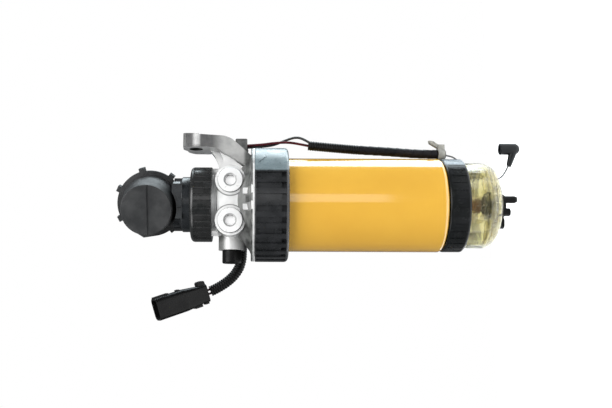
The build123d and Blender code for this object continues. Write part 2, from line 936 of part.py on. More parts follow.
def pump_housing():
    """Spigot, neck and the rear half of the can, moulded in one."""
    low = spigot_seat + 0.6
    inner = spigot_bore - 0.15 - spigot_wall
    outer = spigot_bore - 0.15
    groove, half = spigot_ring_height, spigot_ring_wire + 0.2
    depth = 2 * spigot_ring_wire - 0.13
    spigot = turned(
        [
            (inner, low),
            (outer, low),
            (outer, groove - half),
            (outer - depth, groove - half),
            (outer - depth, groove + half),
            (outer, groove + half),
            (outer, thread_top + SEAT),
            (spigot_flange_radius, thread_top + SEAT),
            (spigot_flange_radius, spigot_flange_top),
            (spigot_groove_radius, spigot_flange_top),
            (spigot_groove_radius, nut_top + 0.6),
            (shoulder_radius, nut_top + 0.6),
            (shoulder_radius, shoulder_top),
            (pump_neck_radius + 1.6, shoulder_top),
            (pump_neck_radius, shoulder_top + 2.0),
            (pump_neck_radius, deck_top),
            (0, deck_top),
            (0, deck_top - 5.5),
            (inner, deck_top - 5.5),
        ],
        rounds=((12, 1.0),),
    )
    # Flat-sided block on the front of the neck, a small tab over it, and ridges round the back
    reach, half_width, low_end = deck_block
    spigot += block((0, reach - 2.6), (-half_width, half_width), (low_end, deck_top))
    tab = block((reach - 4.0, reach), (-4.3, 4.3), (low_end, deck_tab_top))
    spigot += Rot(0, 0, -4.0) * tab
    root = pump_neck_radius - 1.5
    ridge = block((root, shoulder_radius - 1.0), (-0.8, 0.8), (shoulder_top - 1.0, deck_top))
    spigot += around(ridge, 3, 90.0, 270.0)
    rear, flange_rear = can_rear, can_flange[0]
    across = block((rear, flange_rear), (-can_radius, can_radius), (shoulder_top, can_height))
    neck = rod(pump_neck_radius, shoulder_top, can_height) & Rot(0, 0, pump_clock) * across
    can = turned(
        [
            (0, rear),
            (can_radius, rear),
            (can_radius, flange_rear),
            (can_flange_radius, flange_rear),
            (can_flange_radius, can_flange[1]),
            (can_nose_radius, can_flange[1]),
            (can_nose_radius, can_nose),
            (0, can_nose),
        ],
        rounds=((1, 2.0), (6, 0.8)),
    )
    hollow = rod(can_bore, bulkhead_front, can_nose + 1.0)
    boss = rod(motor_radius - motor_wall - SEAT, rear - bulkhead_boss, rear + 1.0)
    body = on_can(can + boss) + neck
    body += spigot
    body -= on_can(hollow)
    # Room for the cover over the neck's deck, and the way up from the neck into the can
    inside = can_nose_radius + 0.01
    room = ring(cover_flange_radius + LOOSE, inside, can_flange[1], cover_flange_front + LOOSE)
    room += ring(cover_root_radius + LOOSE, inside, cover_flange_front, can_nose)
    room += rod(cover_root_radius + LOOSE, can_nose, cover_face + 4.0)
    body -= on_can(room)
    way = rod(5.0, shoulder_top - 6.0, can_height - 10.0, x=-14.5)
    body -= Rot(0, 0, pump_clock) * way
    bush = rod(bush_radius, rear - bulkhead_boss - 1.0, rear - bulkhead_boss + bush_length)
    hole = rod(shaft_radius + LOOSE, rear - 5.0, bulkhead_front + 1.0)
    return body - on_can(bush + hole)


def pump_seal():
    """Ring in the spigot's groove."""
    reach = spigot_bore - spigot_ring_wire - 0.02
    return torus_ring(reach, spigot_ring_wire, spigot_ring_height)


def cover_lugs():
    """Snap lugs that hook over the housing's flange. Where the neck is there is no room for one."""
    rear, front = can_flange[0] - LOOSE, cover_flange_front
    deep = rear - cover_hook_depth
    across = (-cover_lug_width / 2, cover_lug_width / 2)
    lug = block((-cover_lug_reach, -can_flange_radius - SEAT), across, (deep, front))
    lug += block((-cover_lug_reach, -can_flange_radius + 1.2), across, (deep, rear))
    lugs = []
    for i in range(cover_lug_count):
        angle = cover_lug_start + 360.0 * i / cover_lug_count
        if abs(angle - 180.0) > 10.0 and abs(angle - cover_point[0]) > 10.0:
            lugs.append(Rot(0, 0, -angle) * lug)
    return lugs


def cover_corner():
    """Pointed corner of the cover's flange, tangent to its edge."""
    angle, half = cover_point[0], radians(cover_point[1])
    near, side = cover_flange_radius * cos(half), cover_flange_radius * sin(half)
    tip = cover_flange_radius / cos(half)
    corner = make_face(Polyline((-near, side), (-tip, 0), (-near, -side), close=True))
    back = can_flange[1] + SEAT
    return Rot(0, 0, -angle) * Pos(0, 0, back) * extrude(corner, cover_flange_front - back)


def pump_front_cover():
    back, front = can_flange[1] + SEAT, cover_flange_front
    shell = turned(
        [
            (0, back),
            (cover_flange_radius, back),
            (cover_flange_radius, front),
            (cover_root_radius, front),
            (cover_face_radius, cover_face),
            (0, cover_face),
        ],
        rounds=((4, 0.9),),
    )
    shell -= turned(
        [
            (0, back - 1.0),
            (cover_bore, back - 1.0),
            (cover_bore, can_nose + LOOSE),
            (cover_cavity, can_nose + LOOSE),
            (cover_cavity, plate_span[1] + LOOSE),
            (cover_cavity - 1.0, cover_face - cover_wall),
            (0, cover_face - cover_wall),
        ],
        rounds=((5, 2.0),),
    )
    shell += cover_lugs()
    shell += cover_corner()
    # Narrow groove across the face
    seam = block(
        (cover_seam - cover_seam_width / 2, cover_seam + cover_seam_width / 2),
        (-40.0, 40.0),
        (cover_face - cover_seam_depth, cover_face + 1.0),
    )
    return on_can(shell - seam)


# Motor, on the can's axis behind the housing


def motor_can():
    outer = turned(
        [(0, motor_rear), (motor_radius, motor_rear), (motor_radius, can_rear), (0, can_rear)],
        rounds=((1, 3.0),),
    )
    inside = motor_radius - motor_wall
    floor = motor_rear + motor_wall
    room = [(0, floor), (inside, floor), (inside, can_rear + 1), (0, can_rear + 1)]
    outer -= turned(room, rounds=((1, 1.4),))
    outer += ring(bush_radius + 2.0, bush_radius, floor - 0.5, floor + bush_length)
    # Wall of the supply socket, open to the rear
    low, high = motor_rear - socket_length, motor_rear + 0.5
    half_wide, half_high = socket_size[0] / 2, socket_size[1] / 2
    wall = block((-half_high, half_high), (-half_wide, half_wide), (low, high))
    half_wide, half_high = half_wide - socket_wall, half_high - socket_wall
    room = block((-half_high, half_high), (-half_wide, half_wide), (low - 1, high - 1.5))
    outer += Pos(-socket_offset, 0, 0) * (wall - room)
    for y in terminal_places:
        outer -= rod(terminal_radius, motor_rear - 3.0, floor + 1.0, x=-socket_offset, y=y)
    return on_can(outer)


def motor_terminals():
    low, high = motor_rear - 7.0, motor_rear + motor_wall
    pins = [rod(terminal_radius, low, high, x=-socket_offset, y=y) for y in terminal_places]
    return Compound(children=[on_can(pin) for pin in pins])


def field_magnets():
    """Two curved magnets against the motor can's wall."""
    outside = motor_radius - motor_wall
    shell = ring(outside, outside - magnet_thickness, *magnet_span)
    gap = block((-40.0, 40.0), (-7.0, 7.0), (magnet_span[0] - 1, magnet_span[1] + 1))
    halves = (shell - gap).solids()
    return Compound(children=[on_can(half) for half in halves])


def slot_cuts(low, high):
    slot = rod(2.6, low, high, x=13.0) + block((13.0, 22.0), (-0.9, 0.9), (low, high))
    return around(slot, armature_slots)


def armature():
    core = ring(armature_radius, shaft_radius, *armature_span)
    return on_can(core - slot_cuts(armature_span[0] - 1, armature_span[1] + 1))


def motor_windings():
    """Coils: a bar in each slot and a ring at each end."""
    inner, outer = winding_radii
    low, high = winding_span
    coils = ring(outer, inner, low, armature_span[0])
    coils += ring(outer, inner, armature_span[1], high)
    coils += around(rod(2.4, low + 0.5, high - 0.5, x=13.0), armature_slots)
    return on_can(coils)


def commutator():
    body = ring(commutator_radius, shaft_radius, *commutator_span)
    low, high = commutator_span
    cut = block((commutator_radius - 1.0, commutator_radius + 1.0), (-0.25, 0.25), (low - 1.0, high - 1.0))
    return on_can(body - around(cut, commutator_bars))


def motor_shaft():
    return on_can(rod(shaft_radius, motor_rear + motor_wall + 0.4, plate_span[1] - 1.0))


def shaft_bushes():
    floor = motor_rear + motor_wall
    front = can_rear - bulkhead_boss
    places = (floor, front)
    bushes = [ring(bush_radius, shaft_radius + RUNNING, low, low + bush_length) for low in places]
    return Compound(children=[on_can(bush) for bush in bushes])


def brush_span():
    middle = sum(commutator_span) / 2
    return middle - brush_size / 2, middle + brush_size / 2


def brush_holder():
    """Plate across the motor can with a box for each brush."""
    low, high = brush_span()
    plate = ring(motor_radius - motor_wall, commutator_radius + 1.6, low - 1.6, low)
    half = brush_size / 2
    box = block((10.6, 18.0), (-half - 1.0, half + 1.0), (low - 0.5, high + 1.0))
    box -= block((10.0, 19.0), (-half, half), (low, high))
    return on_can(plate + around(box, 2))


def motor_brushes():
    low, high = brush_span()
    half = brush_size / 2
    start = commutator_radius + RUNNING
    brush = block((start - 1.0, start + brush_length), (-half, half), (low, high))
    brush -= rod(start, low - 1.0, high + 1.0)
    return Compound(children=[on_can(piece) for piece in around(brush, 2)])


# Turbine stage


def impeller():
    """Turbine wheel with pockets cut between its vanes from both sides."""
    low, high = impeller_span
    wheel = ring(impeller_radius, shaft_radius, low, high)
    step = 2 * pi * (impeller_radius - 1.4) / impeller_blades
    pocket = Sphere(impeller_blade_depth)
    pocket &= block((-9.0, 9.0), (-step / 2 + 0.5, step / 2 - 0.5), (-9.0, 9.0))
    reach = impeller_radius - 1.4
    cuts = around(Pos(reach, 0, low - 1.2) * pocket, impeller_blades)
    cuts += around(Pos(reach, 0, high + 1.2) * pocket, impeller_blades, 180.0 / impeller_blades)
    return on_can(wheel - cuts)


def impeller_plates():
    """Inlet plate with the chamber wall, and the outlet plate in front of it."""
    low, high = plate_span
    chamber = (low + plate_thickness, high - plate_thickness)
    inlet = ring(plate_radius, shaft_radius + LOOSE, low, chamber[1])
    inlet -= rod(impeller_radius + LOOSE, *chamber)
    inlet -= around(rod(2.0, low - 1.0, chamber[0] + 1.0, x=14.0), 3, 20.0, 60.0)
    outlet = ring(plate_radius, shaft_radius + RUNNING, chamber[1], high)
    outlet -= around(rod(2.0, chamber[1] - 1.0, high + 1.0, x=14.0), 3, 200.0, 60.0)
    return Compound(children=[on_can(inlet), on_can(outlet)])


# Check valve in the head's gallery


def check_valve_seat():
    return ring(gallery_radius, valve_seat_bore, *valve_seat)


def check_valve_poppet():
    low = valve_seat[1]
    return rod(valve_disc_radius, low, low + valve_disc_height) + rod(valve_stem_radius, low, valve_stem_top)


def check_valve_cage():
    """Ring, three legs and a pierced roof that guides the stem."""
    low = valve_seat[1]
    cage = ring(gallery_radius, valve_cage_bore, low, spigot_seat)
    roof = ring(gallery_radius, valve_stem_radius + RUNNING, valve_cage_roof, spigot_seat)
    window = block((5.0, 12.0), (-5.0, 5.0), (low + 2.0, valve_cage_roof - 1.0))
    ways = rod(1.5, valve_cage_roof - 1.0, spigot_seat + 1.0, x=6.3)
    return cage - around(window, 3) + roof - around(ways, 6, 30.0)


def check_valve_spring():
    low = valve_seat[1] + valve_disc_height
    height = valve_cage_roof - low - 2 * spring_wire
    line = Helix(height / spring_turns, height, spring_radius)
    section = Plane(origin=line @ 0, z_dir=line % 0) * Circle(spring_wire)
    return Pos(0, 0, low + spring_wire) * sweep(section, path=line)


# Leads


def turn_radii(points, least):
    """Corner radii that use most of the shorter straight run at each turn."""
    spots = [Vector(*point) for point in points]
    radii = []
    for before, corner, after in zip(spots, spots[1:], spots[2:]):
        turn = radians((corner - before).get_angle(after - corner))
        run = min((corner - before).length, (after - corner).length)
        radii.append(0.45 * run / tan(turn / 2))
    print(f"turn radii {[round(radius) for radius in radii]}, least wanted {least}")
    return radii


def lead(points, diameter, limp=False):
    """Round lead through its points: straight runs joined by tangent arcs."""
    radii = turn_radii(points, (3 if limp else 5) * diameter)
    line = FilletPolyline(*points, radius=radii)
    section = Plane(origin=line @ 0, z_dir=line % 0) * Circle(diameter / 2)
    tube = sweep(section, path=line)
    straight = line.length * pi * diameter**2 / 4
    print(f"length {line.length:.0f}, volume {tube.volume:.0f} for {straight:.0f}")
    return tube


def lower_conduit_points():
    loop = []
    for i, height in enumerate(loop_heights):
        angle = radians(loop_start + i * loop_step)
        loop.append((loop_radius * cos(angle), loop_radius * sin(angle), height))
    return loop + lower_route_tail


def shifted(points, step):
    return [tuple(Vector(*point) + step) for point in points]


def lower_conduit_line():
    return lead(lower_conduit_points(), lower_conduit_diameter, limp=True)


def connector_leads(diameter=lead_diameter):
    """The plug's two leads, side by side in the plane of its pins."""
    step = plug_frame().y_dir * (lead_spacing / 2)
    return Compound(children=[lead(shifted(lead_route, side), diameter, limp=True) for side in (step, -step)])


def red_wire():
    return lead(red_route, wire_diameter)


def black_wire():
    return lead(black_route, wire_diameter)


def lower_conduit():
    return lower_conduit_line() - connector_leads()


def upper_conduit():
    return lead(upper_route, upper_conduit_diameter) - red_wire() - black_wire() - sensor_lead()


def sensor_lead():
    return lead(sensor_route, sensor_wire_diameter)


def harness_tie():
    """Band round the end of the upper conduit, with its lock and the tail that sticks up."""
    end, before = Vector(*upper_route[-1]), Vector(*upper_route[-2])
    along = (end - before).normalized()
    place = Plane(origin=end - along * (tie_width + 1.0), x_dir=(0, 1, 0), z_dir=along)
    inner = upper_conduit_diameter / 2
    band = ring(inner + tie_band, inner, 0.0, tie_width)
    band += block((inner + 0.2, inner + 5.4), (-3.0, 3.0), (0.0, tie_width))
    corners = [(2.0, -0.5), (5.0, 1.0), (9.0, -5.0), (9.4, -9.0), (6.6, -8.4)]
    tail = make_face(Polyline(*[(inner + height, along) for height, along in corners], close=True))
    # The tail's side is drawn as (height over the conduit, along it)
    tail_plane = Plane(origin=(0, 0, 0), x_dir=(1, 0, 0), z_dir=(0, -1, 0))
    band += extrude(tail_plane * tail, 2.4, both=True)
    return place * band


def plug_frame():
    return Plane(origin=plug_origin, x_dir=plug_side, z_dir=plug_axis)


def rounded_bar(size, corner, low, high):
    return Pos(0, 0, low) * extrude(RectangleRounded(*size, corner), high - low)


def connector_housing():
    """Two-way plug housing: narrow back, wider open shroud, latch at the back's upper side."""
    back, front = back_size, shroud_size
    body = rounded_bar(back, back_corner, 0.0, shroud_start + 4.0)
    body += rounded_bar(front, shroud_corner, shroud_start, plug_length)
    joint = loft([
        Pos(0, 0, 8.0) * RectangleRounded(*back, back_corner),
        Pos(0, 0, shroud_start) * RectangleRounded(*front, shroud_corner),
    ])
    body += joint
    inside = (front[0] - 2 * shroud_wall, front[1] - 2 * shroud_wall)
    body -= rounded_bar(inside, shroud_corner - shroud_wall, shroud_floor, plug_length + 1.0)
    # Latch step, keys on the upper side and the step below
    latch = block((-4.5, 4.5), (back[1] / 2 - 1.0, back[1] / 2 + 4.2), (0.6, 8.6))
    body += fillet(latch.edges().filter_by(Axis.X).sort_by(Axis.Y)[-2:], 2.0)
    for span in plug_keys:
        body += block((-4.0, 4.0), (front[1] / 2 - 1.0, front[1] / 2 + plug_key_height), span)
    body += block((-3.5, 3.5), (-back[1] / 2 - 1.8, -back[1] / 2 + 1.0), (0.8, 5.0))
    body += block((-4.5, 4.5), (-front[1] / 2 - 0.6, -front[1] / 2 + 2.0), (9.0, 17.0))
    body -= rounded_bar(seal_size, 2.0, -1.0, seal_depth)
    for y in (pin_spacing / 2, -pin_spacing / 2):
        body -= rod(pin_radius, seal_depth - 1.0, shroud_floor + 1.0, y=y)
    return plug_frame() * body - connector_leads(lead_diameter + 2 * SEAT)


def connector_seal():
    """Rubber block in the back of the plug, pierced for the leads."""
    return plug_frame() * rounded_bar(seal_size, 2.0, 0.0, seal_depth) - connector_leads()


def connector_pins():
    pins = [rod(pin_radius, seal_depth, pin_reach, y=y) for y in (pin_spacing / 2, -pin_spacing / 2)]
    return Compound(children=[plug_frame() * pin for pin in pins])


def sensor_boot():
    """Elbow boot: a socket along Z and a tail that tapers on to the lead."""
    elbow, tail_end = Vector(*boot_elbow), Vector(*boot_tail_end)
    along = tail_end - elbow
    tail = Plane(origin=boot_elbow, z_dir=along) * Cone(
        boot_tail_radii[0], boot_tail_radii[1], along.length, align=(Align.CENTER, Align.CENTER, Align.MIN)
    )
    socket = rod(boot_radius, boot_elbow[2], boot_mouth, *boot_elbow[:2])
    socket = fillet(socket.edges().group_by(Axis.Z)[-1], 0.8)
    boot = socket + tail + Pos(*boot_elbow) * Sphere(boot_radius)
    boot -= rod(boot_bore, boot_mouth - boot_bore_depth, boot_mouth + 1.0, *boot_elbow[:2])
    return boot - sensor_lead()


def boot_terminal():
    """Metal sleeve in the boot's socket."""
    low = boot_mouth - boot_bore_depth
    sleeve = ring(boot_bore, boot_bore - terminal_wall, low, low + terminal_length)
    return Pos(*boot_elbow[:2], 0) * sleeve


NODES = {
    "head_casting": head_casting,
    "port_plugs": port_plugs,
    "port_plug_washers": port_washers,
    "outlet_port_cap": port_cap,
    "harness_clip": harness_clip,
    "filter_canister": canister,
    "canister_seal": canister_seal,
    "pleated_media": media,
    "media_core": media_core_tube,
    "element_top_cap": top_cap,
    "element_bottom_cap": bottom_cap,
    "base_plate": throat,
    "standpipe": standpipe,
    "lock_ring": lock_ring,
    "water_bowl": bowl,
    "bowl_ring": bowl_ring,
    "bowl_seal": bowl_seal,
    "drain_body": drain_body,
    "drain_nut": drain_nut,
    "drain_screw": drain_screw,
    "drain_seal": drain_seal,
    "sensor_probes": sensor_probes,
    "pump_nut": pump_nut,
    "pump_housing": pump_housing,
    "pump_seal": pump_seal,
    "pump_front_cover": pump_front_cover,
    "motor_can": motor_can,
    "motor_terminals": motor_terminals,
    "field_magnets": field_magnets,
    "armature": armature,
    "motor_windings": motor_windings,
    "commutator": commutator,
    "motor_shaft": motor_shaft,
    "shaft_bushes": shaft_bushes,
    "brush_holder": brush_holder,
    "motor_brushes": motor_brushes,
    "impeller": impeller,
    "impeller_plates": impeller_plates,
    "check_valve_seat": check_valve_seat,
    "check_valve_poppet": check_valve_poppet,
    "check_valve_cage": check_valve_cage,
    "check_valve_spring": check_valve_spring,
    "lower_conduit": lower_conduit,
    "connector_leads": connector_leads,
    "red_wire": red_wire,
    "black_wire": black_wire,
    "upper_conduit": upper_conduit,
    "sensor_lead": sensor_lead,
    "harness_tie": harness_tie,
    "connector_housing": connector_housing,
    "connector_seal": connector_seal,
    "connector_pins": connector_pins,
    "sensor_boot": sensor_boot,
    "boot_terminal": boot_terminal,
}


def in_row_frame(shape):
    """Moves a shape so that the origin is the mouth of the bracket's bolt hole."""
    return Pos(-mount_x, -mount_face, -mount_height) * shape


os.makedirs("parts", exist_ok=True)
for name, make in NODES.items():
    export_step(in_row_frame(make()), f"parts/{name}.step")
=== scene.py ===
"""Looks for the fuel feed pump: materials, corrugated conduits, wires, light, floor and camera."""

from math import cos, pi, radians, sin

import bpy
from mathutils import Matrix, Vector


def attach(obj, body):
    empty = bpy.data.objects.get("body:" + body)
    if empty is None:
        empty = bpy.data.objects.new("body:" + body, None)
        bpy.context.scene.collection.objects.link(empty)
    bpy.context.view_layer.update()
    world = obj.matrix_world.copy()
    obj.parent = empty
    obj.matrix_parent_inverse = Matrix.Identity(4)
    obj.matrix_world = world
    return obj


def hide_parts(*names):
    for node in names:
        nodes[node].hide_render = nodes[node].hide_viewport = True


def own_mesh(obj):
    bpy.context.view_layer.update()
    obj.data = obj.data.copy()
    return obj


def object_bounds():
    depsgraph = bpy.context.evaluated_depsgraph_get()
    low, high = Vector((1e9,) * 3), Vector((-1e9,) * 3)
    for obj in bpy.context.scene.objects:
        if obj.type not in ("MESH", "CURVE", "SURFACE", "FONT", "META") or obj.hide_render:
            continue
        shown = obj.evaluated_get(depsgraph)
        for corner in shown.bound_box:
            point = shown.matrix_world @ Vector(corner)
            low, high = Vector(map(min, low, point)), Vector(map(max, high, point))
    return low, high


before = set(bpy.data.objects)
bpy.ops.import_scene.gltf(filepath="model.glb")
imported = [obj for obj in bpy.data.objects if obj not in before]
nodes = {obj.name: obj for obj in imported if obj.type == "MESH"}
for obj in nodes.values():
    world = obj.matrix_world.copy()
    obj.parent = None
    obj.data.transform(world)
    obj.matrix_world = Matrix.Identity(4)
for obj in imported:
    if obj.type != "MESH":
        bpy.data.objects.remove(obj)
cad_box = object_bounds()

# All sizes are in metres and all places in the row frame, unless a comment says otherwise
AXIS_X, AXIS_Y, FLANGE_Z = -0.0075, -0.0701, -0.0597  # the filter's axis and the head's flange
PORT_SIDE, PORT_HEIGHT = 0.01995, 0.0238  # the two ports, from the axis and over the flange

# Camera: the photograph looks square at the filter's axis, 8 degrees under the ports, with up to the left
VIEW_TURN = radians(8.0)
VIEW_DISTANCE = 0.816
FOCAL_PIXELS = 800.0
PICTURE_WIDTH, PICTURE_HEIGHT = 612.0, 408.0
AXIS_PIXEL = (254.0, 204.9)  # where the photograph shows the point looked at
LOOK_RISE = 0.0005  # that point's height over the flange
ROLL = 0.0042  # the photograph's right end hangs a little low
FILM_WIDTH = 36.0
CLIP_START, CLIP_END = 0.01, 20.0

# Where the tones change on the head, most of them painted shade and a painted highlight: a pair is a soft
# edge, from where it starts to where it ends
# The arm's side, which gets painted shade that darkens towards the arm's end
ARM_SIDE_X, ARM_SIDE_Y = (0.0095, 0.0115), (-0.0365, -0.0345)
ARM_SHADE_Z = (-0.029, -0.017)
HIGHLIGHT_Z, HIGHLIGHT_HALF = -0.0013, 0.0042  # painted highlight beside the bolt hole
HIGHLIGHT_Y = (-0.0148, -0.011)
FLARE_FOOT, FLARE_TOP = (0.0012, 0.0022), (0.0085, 0.0115)  # painted shade in the flare's recess, over the flange
RIB_SIDE, RIB_HALF = 0.0078, 0.0044  # the flare's two ribs, from the axis
RIB_X, RIB_EDGE = (0.0335, 0.0345), (0.05, 0.3)
BOSS_SHADOW, BOSS_SHADOW_HALF = 0.0154, 0.0008  # painted shadow line round each port boss, from the port's axis
BOSS_SHADOW_X = (0.0215, 0.0225)
# Painted shade on the stub, where it lies below this place along Y
STUB_Y = (-0.1075, -0.1035)
BOLT_HOLE_SHADE = (0.0068, 0.0070)  # painted shade inside the bolt hole, from the hole's axis
FACING_CAMERA, FACING_UP = (0.35, 0.7), (0.15, 0.6)  # how far a face's normal leans that way; faces that look up get painted shade

# The same on the port plugs, from the port's axis, where painted shade lies, and the strength of the painted
# light glowing in the sockets
PLUG_EDGE = (0.0119, 0.0123)
BEVEL, BEVEL_HALF = 0.0058, 0.0011
SOCKET_WALL, SOCKET_FLOOR = (0.0062, 0.0064), (0.0044, 0.0052)
WALL_LEAN = (0.2, 0.5)  # the walls' normals lean less than this along the port's axis
SOCKET_PAINTED_LIGHT = 0.5

# The rings' pads, which carry a painted sheen: direction of the pad's middle, and where the pad starts that
# way from the axis
LOCK_PAD, LOCK_PAD_EDGE = radians(64.0), 0.0462
BOWL_PAD, BOWL_PAD_EDGE = radians(86.0), 0.0385
PAD_BLEND = 0.0012

# The bowl's darker shoulder and the rings in it, which are painted lines standing in for light bent at the
# shoulder
BOWL_SHOULDER = (-0.2960, -0.2860)
BOWL_BENT_LIGHT, BOWL_BENT_LIGHT_HALF = (-0.2872, -0.2912, -0.2952), 0.0010

# Noise: its roughness, the range most of its values lie in, and the flat share of a soft band
NOISE_ROUGHNESS = 0.55
NOISE_LOW, NOISE_HIGH = 0.35, 0.65
BAND_FLAT = 0.35

# Loom: diameters, ribs and tape
LOWER_DIAMETER, LOWER_PITCH = 0.011, 0.0026
UPPER_DIAMETER, UPPER_PITCH = 0.0096, 0.0025
RIB_DEPTH, RIB_FULLNESS = 0.0005, 1.7
TAPE_START, TAPE_SINK, TAPE_STEP, TAPE_LAP = 0.052, 0.00005, 0.00035, 0.0095
WRINKLE, WRINKLE_TURNS, WRINKLE_RATE = 0.00012, 3, 90
LEAD_DIAMETER, WIRE_DIAMETER, SENSOR_DIAMETER = 0.0024, 0.0026, 0.0016
STEP, SIDES = 0.00035, 28  # length and number of the facets of a conduit

# Routes of the loom, in millimetres about the filter's axis and over the flange
BACK_RADIUS, BACK_START, BACK_TURN = 60.0, 101.5, 20  # the lower conduit's way round the back, in degrees
BACK_HEIGHTS = (12.0, 13.5, 15.5, 16.5, 16.0, 14.5)
BACK_ANGLES = [radians(BACK_START + BACK_TURN * i) for i in range(len(BACK_HEIGHTS))]
BACK_ROUTE = [(BACK_RADIUS * cos(angle), BACK_RADIUS * sin(angle), height)
              for angle, height in zip(BACK_ANGLES, BACK_HEIGHTS)]
LOWER_ROUTE = BACK_ROUTE + [(-48.0, -36.2, 12.8), (-44.5, -61.0, 13.8), (-41.5, -79.4, 30.1),
                            (-40.8, -86.6, 46.0)]
LEAD_ROUTE = [(-40.9, -85.3, 43.2), (-40.4, -87.6, 48.6), (-36.5, -89.9, 55.0)]
LEAD_SPACING, PLUG_UP = 4.2, (0.1484, 0.9498, 0.2747)  # the two leads lie one over the other
RED_ROUTE = [(1.4, 61.2, 10.0), (2.7, 62.0, -7.0), (3.4, 63.9, -21.0), (3.9, 64.4, -35.0),
             (4.1, 62.4, -47.0), (3.8, 60.2, -58.0)]
BLACK_ROUTE = [(-1.9, 59.8, 10.0), (-1.1, 60.8, -8.0), (-0.4, 62.3, -20.0), (1.2, 66.8, -31.0),
               (4.2, 70.2, -43.0), (6.8, 66.2, -52.0), (7.0, 61.4, -59.0)]
UPPER_ROUTE = [(4.4, 60.8, -55.0), (3.2, 58.6, -82.0), (0.8, 56.8, -112.0), (-1.2, 55.6, -143.0),
               (-3.7, 54.2, -171.0), (-5.5, 54.0, -197.0)]
SENSOR_ROUTE = [(-5.1, 54.0, -191.0), (-6.9, 53.3, -203.5), (-14.5, 50.6, -211.5), (-23.0, 46.2, -220.0),
                (-31.0, 39.0, -231.0), (-34.4, 35.2, -246.0), (-36.0, 33.6, -258.0),
                (-35.6, 36.6, -266.5), (-33.9, 50.6, -272.6)]

# Check valve's spring, in millimetres: radius of the coil and of its wire, turns, ends over the flange
SPRING_RADIUS, SPRING_WIRE, SPRING_TURNS = 3.9, 0.5, 5
SPRING_LOW, SPRING_HIGH = 31.0, 41.0
COIL_POINTS, COIL_STEP, COIL_SIDES = 160, 0.0008, 10  # the step is in metres, as for the conduits

# Light and floor: the lights look at a point on the filter's axis
WHITE = (1, 1, 1)
ROOM = (0.16, 0.165, 0.17)
LIGHT_CENTRE = Vector((AXIS_X, AXIS_Y, FLANGE_Z - 0.07))
FLOOR_HALF, FLOOR_DROP = 0.55, 0.12
FLOOR_TONES = (0.93, 0.93, 0.93), (0.96, 0.96, 0.96)

# Softboxes: direction, distance, size across and along Z, brightness, colour. Picture up is +Y, left is +Z
SOFTBOXES = {
    "key_up": ((-0.50, 1.0, -0.05), 0.75, (0.46, 1.10), 6.6, (0.84, 0.95, 1.0)),
    "front": ((1.0, 0.16, 0.10), 1.35, (0.46, 0.85), 1.05, WHITE),
    "left": ((0.75, 0.20, 1.0), 1.0, (0.8, 0.8), 5.3, WHITE),
    "right": ((0.75, 0.15, -1.0), 1.0, (0.8, 0.8), 4.0, WHITE),
    "low_left": ((0.45, -0.8, 0.9), 1.0, (0.6, 0.6), 3.0, WHITE),
    "low_right": ((0.45, -0.8, -0.9), 1.0, (0.6, 0.6), 3.0, WHITE),
}


def place(points):
    """Points laid out about the filter's axis, in millimetres, moved to the row frame in metres."""
    return [Vector((x / 1000 + AXIS_X, y / 1000 + AXIS_Y, z / 1000 + FLANGE_Z)) for x, y, z in points]


def add_object(name, data):
    piece = bpy.data.objects.new(name, data)
    bpy.context.collection.objects.link(piece)
    return piece


def add_camera():
    """Camera where the photograph was taken from."""
    data = bpy.data.cameras.new("camera")
    data.sensor_width = FILM_WIDTH
    data.lens = FILM_WIDTH * FOCAL_PIXELS / PICTURE_WIDTH
    data.shift_x = (PICTURE_WIDTH / 2 - AXIS_PIXEL[0]) / PICTURE_WIDTH
    data.shift_y = (AXIS_PIXEL[1] - PICTURE_HEIGHT / 2) / PICTURE_WIDTH
    data.clip_start, data.clip_end = CLIP_START, CLIP_END
    camera = add_object("camera", data)
    right = Vector((0, 0, -1))
    up = Vector((sin(VIEW_TURN), cos(VIEW_TURN), 0))
    back = Vector((cos(VIEW_TURN), -sin(VIEW_TURN), 0))
    right, up = right + ROLL * up, up - ROLL * right
    turn = Matrix((right.normalized(), up.normalized(), back)).transposed().to_4x4()
    look_at = Vector((AXIS_X, AXIS_Y, FLANGE_Z + LOOK_RISE))
    camera.matrix_world = Matrix.Translation(look_at + VIEW_DISTANCE * back) @ turn
    bpy.context.scene.camera = camera


add_camera()
bpy.context.scene.view_settings.view_transform = "Standard"


# Materials: helpers that add nodes and hand back a value or a colour


def new_material(name):
    found = bpy.data.materials.new(name)
    found.use_nodes = True
    tree = found.node_tree
    tree.nodes.clear()
    out = tree.nodes.new("ShaderNodeOutputMaterial")
    shader = tree.nodes.new("ShaderNodeBsdfPrincipled")
    tree.links.new(shader.outputs[0], out.inputs["Surface"])
    return found, tree, shader


def noise(tree, scale, detail=3.0):
    where = tree.nodes.new("ShaderNodeTexCoord")
    texture = tree.nodes.new("ShaderNodeTexNoise")
    texture.inputs["Scale"].default_value = scale
    texture.inputs["Detail"].default_value = detail
    texture.inputs["Roughness"].default_value = NOISE_ROUGHNESS
    tree.links.new(where.outputs["Object"], texture.inputs["Vector"])
    return texture.outputs["Fac"]


def spread(tree, value, low, high, start=NOISE_LOW, end=NOISE_HIGH):
    """Moves a value from one range to another; the usual first range is that of a noise."""
    node = tree.nodes.new("ShaderNodeMapRange")
    for name, number in (("From Min", start), ("From Max", end), ("To Min", low), ("To Max", high)):
        node.inputs[name].default_value = number
    tree.links.new(value, node.inputs["Value"])
    return node.outputs[0]


def patches(tree, scale, detail=4.0):
    """Soft patches between 0 and 1."""
    return spread(tree, noise(tree, scale, detail), 0, 1)


def calc(tree, operation, first, second=None):
    """Math node; the second value may be a plain number."""
    node = tree.nodes.new("ShaderNodeMath")
    node.operation = operation
    tree.links.new(first, node.inputs[0])
    if isinstance(second, (int, float)):
        node.inputs[1].default_value = second
    elif second is not None:
        tree.links.new(second, node.inputs[1])
    return node.outputs[0]


def times(tree, first, second):
    return calc(tree, "MULTIPLY", first, second)


